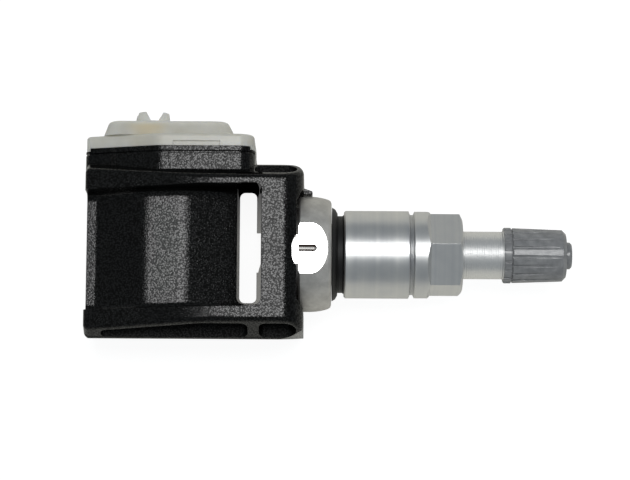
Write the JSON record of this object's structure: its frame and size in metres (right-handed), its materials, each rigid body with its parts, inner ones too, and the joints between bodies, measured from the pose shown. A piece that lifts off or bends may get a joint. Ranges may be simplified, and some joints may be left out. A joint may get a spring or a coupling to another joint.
{
  "type": "tyre pressure sensor",
  "caption": "Tyre pressure sensor that clamps in a wheel's valve hole: moulded housing, welded lid, swivelling metal valve with rubber collar, union nut and ribbed cap.",
  "frame": {"origin": "on the valve's axis, where the rubber collar's flange meets the wheel rim", "axes": "+X along the valve towards its cap, +Y towards the lid with the air port, +Z away from the flat back"},
  "size_m": [0.0796, 0.0374, 0.0225],
  "materials": {
    "housing": "grained",
    "lid": "satin",
    "circuit_board": "satin",
    "pressure_sensor": "satin",
    "port_seal": "satin",
    "control_chip": "matte",
    "crystal": "satin",
    "capacitor": "matte",
    "coil_core": "matte",
    "coil_winding": "gloss",
    "antenna": "satin",
    "battery": "satin",
    "battery_tab_back": "satin",
    "battery_tab_front": "satin",
    "valve_stem": "satin",
    "hollow_screw": "satin",
    "grommet": "matte",
    "nut_washer": "satin",
    "rim_nut": "turned",
    "core_barrel": "gloss",
    "core_gasket": "matte",
    "core_pin": "gloss",
    "core_seal": "matte",
    "core_spring": "gloss",
    "cap": "satin",
    "cap_seal": "matte"
  },
  "bodies": {
    "housing": {"housing": "housing", "lid": "lid", "circuit_board": "circuit_board", "pressure_sensor": "pressure_sensor", "port_seal": "port_seal", "control_chip": "control_chip", "crystal": "crystal", "capacitor": "capacitor", "coil_core": "coil_core", "coil_winding": "coil_winding", "antenna": "antenna", "battery": "battery", "battery_tab_back": "battery_tab_back", "battery_tab_front": "battery_tab_front"},
    "valve": {"valve_stem": "valve_stem", "hollow_screw": "hollow_screw", "grommet": "grommet", "core_barrel": "core_barrel", "core_gasket": "core_gasket", "core_spring": "core_spring"},
    "washer": {"nut_washer": "nut_washer"},
    "nut": {"rim_nut": "rim_nut"},
    "pin": {"core_pin": "core_pin", "core_seal": "core_seal"},
    "cap_ring": {"cap_seal": "cap_seal"},
    "cap": {"cap": "cap"}
  },
  "joints": [
    {"name": "valve_swivel", "type": "hinge", "parent": "housing", "child": "valve", "pos_m": [0.0057, 0, 0], "axis": [0, 1, 0], "range_deg": [-8, 8]},
    {"name": "nut_travel", "type": "slide", "parent": "valve", "child": "washer", "axis": [1, 0, 0], "range_m": [0, 0.00595]},
    {"name": "nut_turn", "type": "hinge", "parent": "washer", "child": "nut", "pos_m": [0, 0, 0], "axis": [1, 0, 0], "range_deg": [0, 2700]},
    {"name": "cap_travel", "type": "slide", "parent": "valve", "child": "cap_ring", "axis": [1, 0, 0], "range_m": [0, 0.00515]},
    {"name": "cap_turn", "type": "hinge", "parent": "cap_ring", "child": "cap", "pos_m": [0, 0, 0], "axis": [1, 0, 0], "range_deg": [0, 2340]},
    {"name": "pin_press", "type": "slide", "parent": "valve", "child": "pin", "axis": [-1, 0, 0], "range_m": [0, 0.0015], "stiffness_N_per_m": 1500, "deforming": ["core_spring"]}
  ],
  "couplings": [
    {"joint": "nut_turn", "follows": "nut_travel", "rad_per_m": 7915.8},
    {"joint": "cap_turn", "follows": "cap_travel", "rad_per_m": 7915.8}
  ]
}
